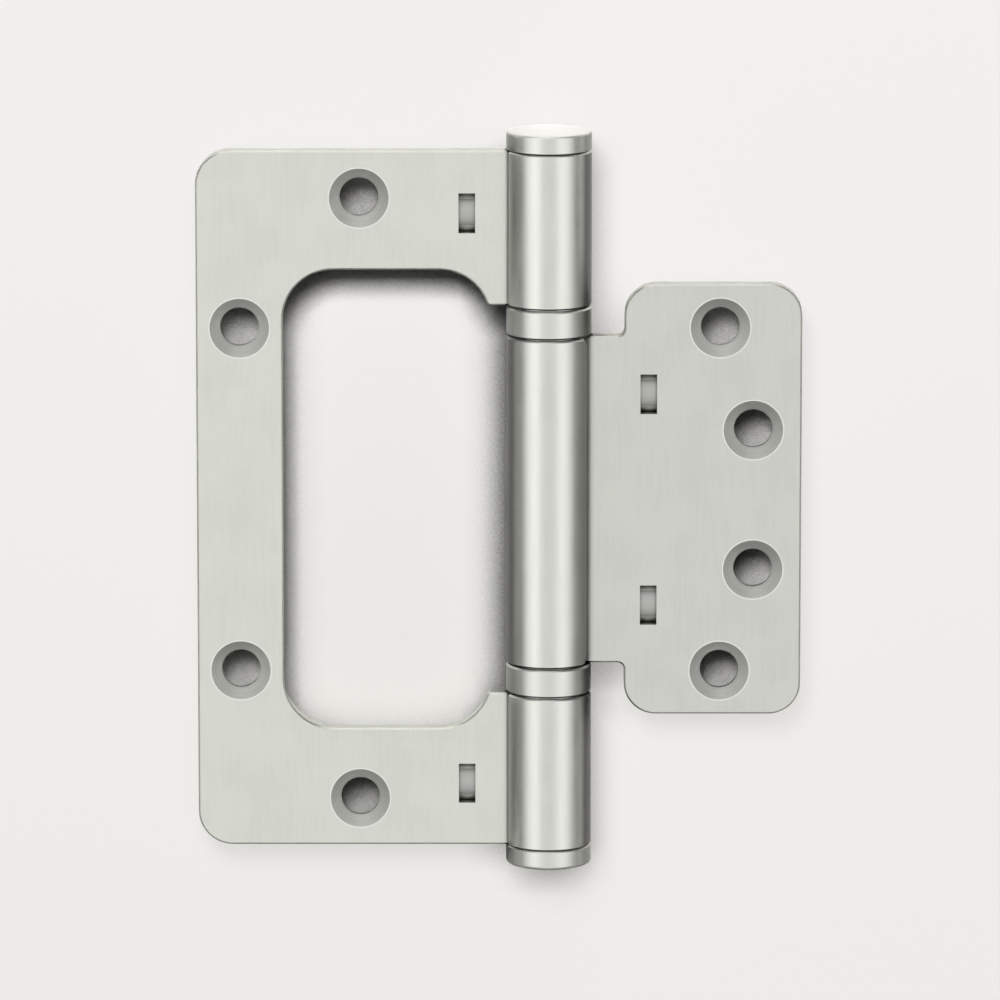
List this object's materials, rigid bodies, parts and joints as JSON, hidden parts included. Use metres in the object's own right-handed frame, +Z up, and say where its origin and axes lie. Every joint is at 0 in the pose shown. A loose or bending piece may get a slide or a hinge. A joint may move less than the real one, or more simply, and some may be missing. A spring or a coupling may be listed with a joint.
{
  "type": "flush hinge",
  "caption": "Flush hinge: a small leaf turns on ball bearings about the pin and folds into the window of a large leaf, so both lie in one plane",
  "frame": {"origin": "centre of the open hinge's box; the pin axis is parallel to Z at x = 7.175 mm, y = 0", "axes": "+Z up along the pin, +X towards the small inner leaf, +Y out of the leaves' backs, -Y out of the countersunk faces"},
  "size_m": [0.0872, 0.0122, 0.1076],
  "materials": {
    "outer_leaf_steel": "satin",
    "inner_leaf_steel": "satin",
    "pin_steel": "ground",
    "cap_steel": "satin, turned",
    "casing_steel": "satin, turned",
    "race_steel": "hardened and ground",
    "cage_steel": "pressed",
    "ball_steel": "polished"
  },
  "bodies": {
    "large_leaf": {"outer_leaf": "outer_leaf_steel", "hinge_pin": "pin_steel", "top_cap": "cap_steel", "bottom_cap": "cap_steel", "upper_bearing_casing": "casing_steel", "upper_bearing_fixed_race": "race_steel", "lower_bearing_casing": "casing_steel", "lower_bearing_fixed_race": "race_steel"},
    "small_leaf": {"inner_leaf": "inner_leaf_steel", "upper_bearing_turning_race": "race_steel", "lower_bearing_turning_race": "race_steel"},
    "upper_ball_set": {"upper_bearing_cage": "cage_steel", "upper_bearing_ball_1": "ball_steel", "upper_bearing_ball_2": "ball_steel", "upper_bearing_ball_3": "ball_steel", "upper_bearing_ball_4": "ball_steel", "upper_bearing_ball_5": "ball_steel", "upper_bearing_ball_6": "ball_steel"},
    "lower_ball_set": {"lower_bearing_cage": "cage_steel", "lower_bearing_ball_1": "ball_steel", "lower_bearing_ball_2": "ball_steel", "lower_bearing_ball_3": "ball_steel", "lower_bearing_ball_4": "ball_steel", "lower_bearing_ball_5": "ball_steel", "lower_bearing_ball_6": "ball_steel"}
  },
  "joints": [
    {"name": "leaf_swing", "type": "hinge", "parent": "large_leaf", "child": "small_leaf", "pos_m": [0.00717, 0, 0], "axis": [0, 0, 1], "range_deg": [-180, 0]},
    {"name": "upper_balls_roll", "type": "hinge", "parent": "large_leaf", "child": "upper_ball_set", "pos_m": [0.00717, 0, 0.02625], "axis": [0, 0, 1], "range_deg": [-90, 0]},
    {"name": "lower_balls_roll", "type": "hinge", "parent": "large_leaf", "child": "lower_ball_set", "pos_m": [0.00717, 0, -0.02625], "axis": [0, 0, 1], "range_deg": [-90, 0]}
  ],
  "couplings": [
    {"joint": "upper_balls_roll", "follows": "leaf_swing", "ratio": 0.5},
    {"joint": "lower_balls_roll", "follows": "leaf_swing", "ratio": 0.5}
  ]
}
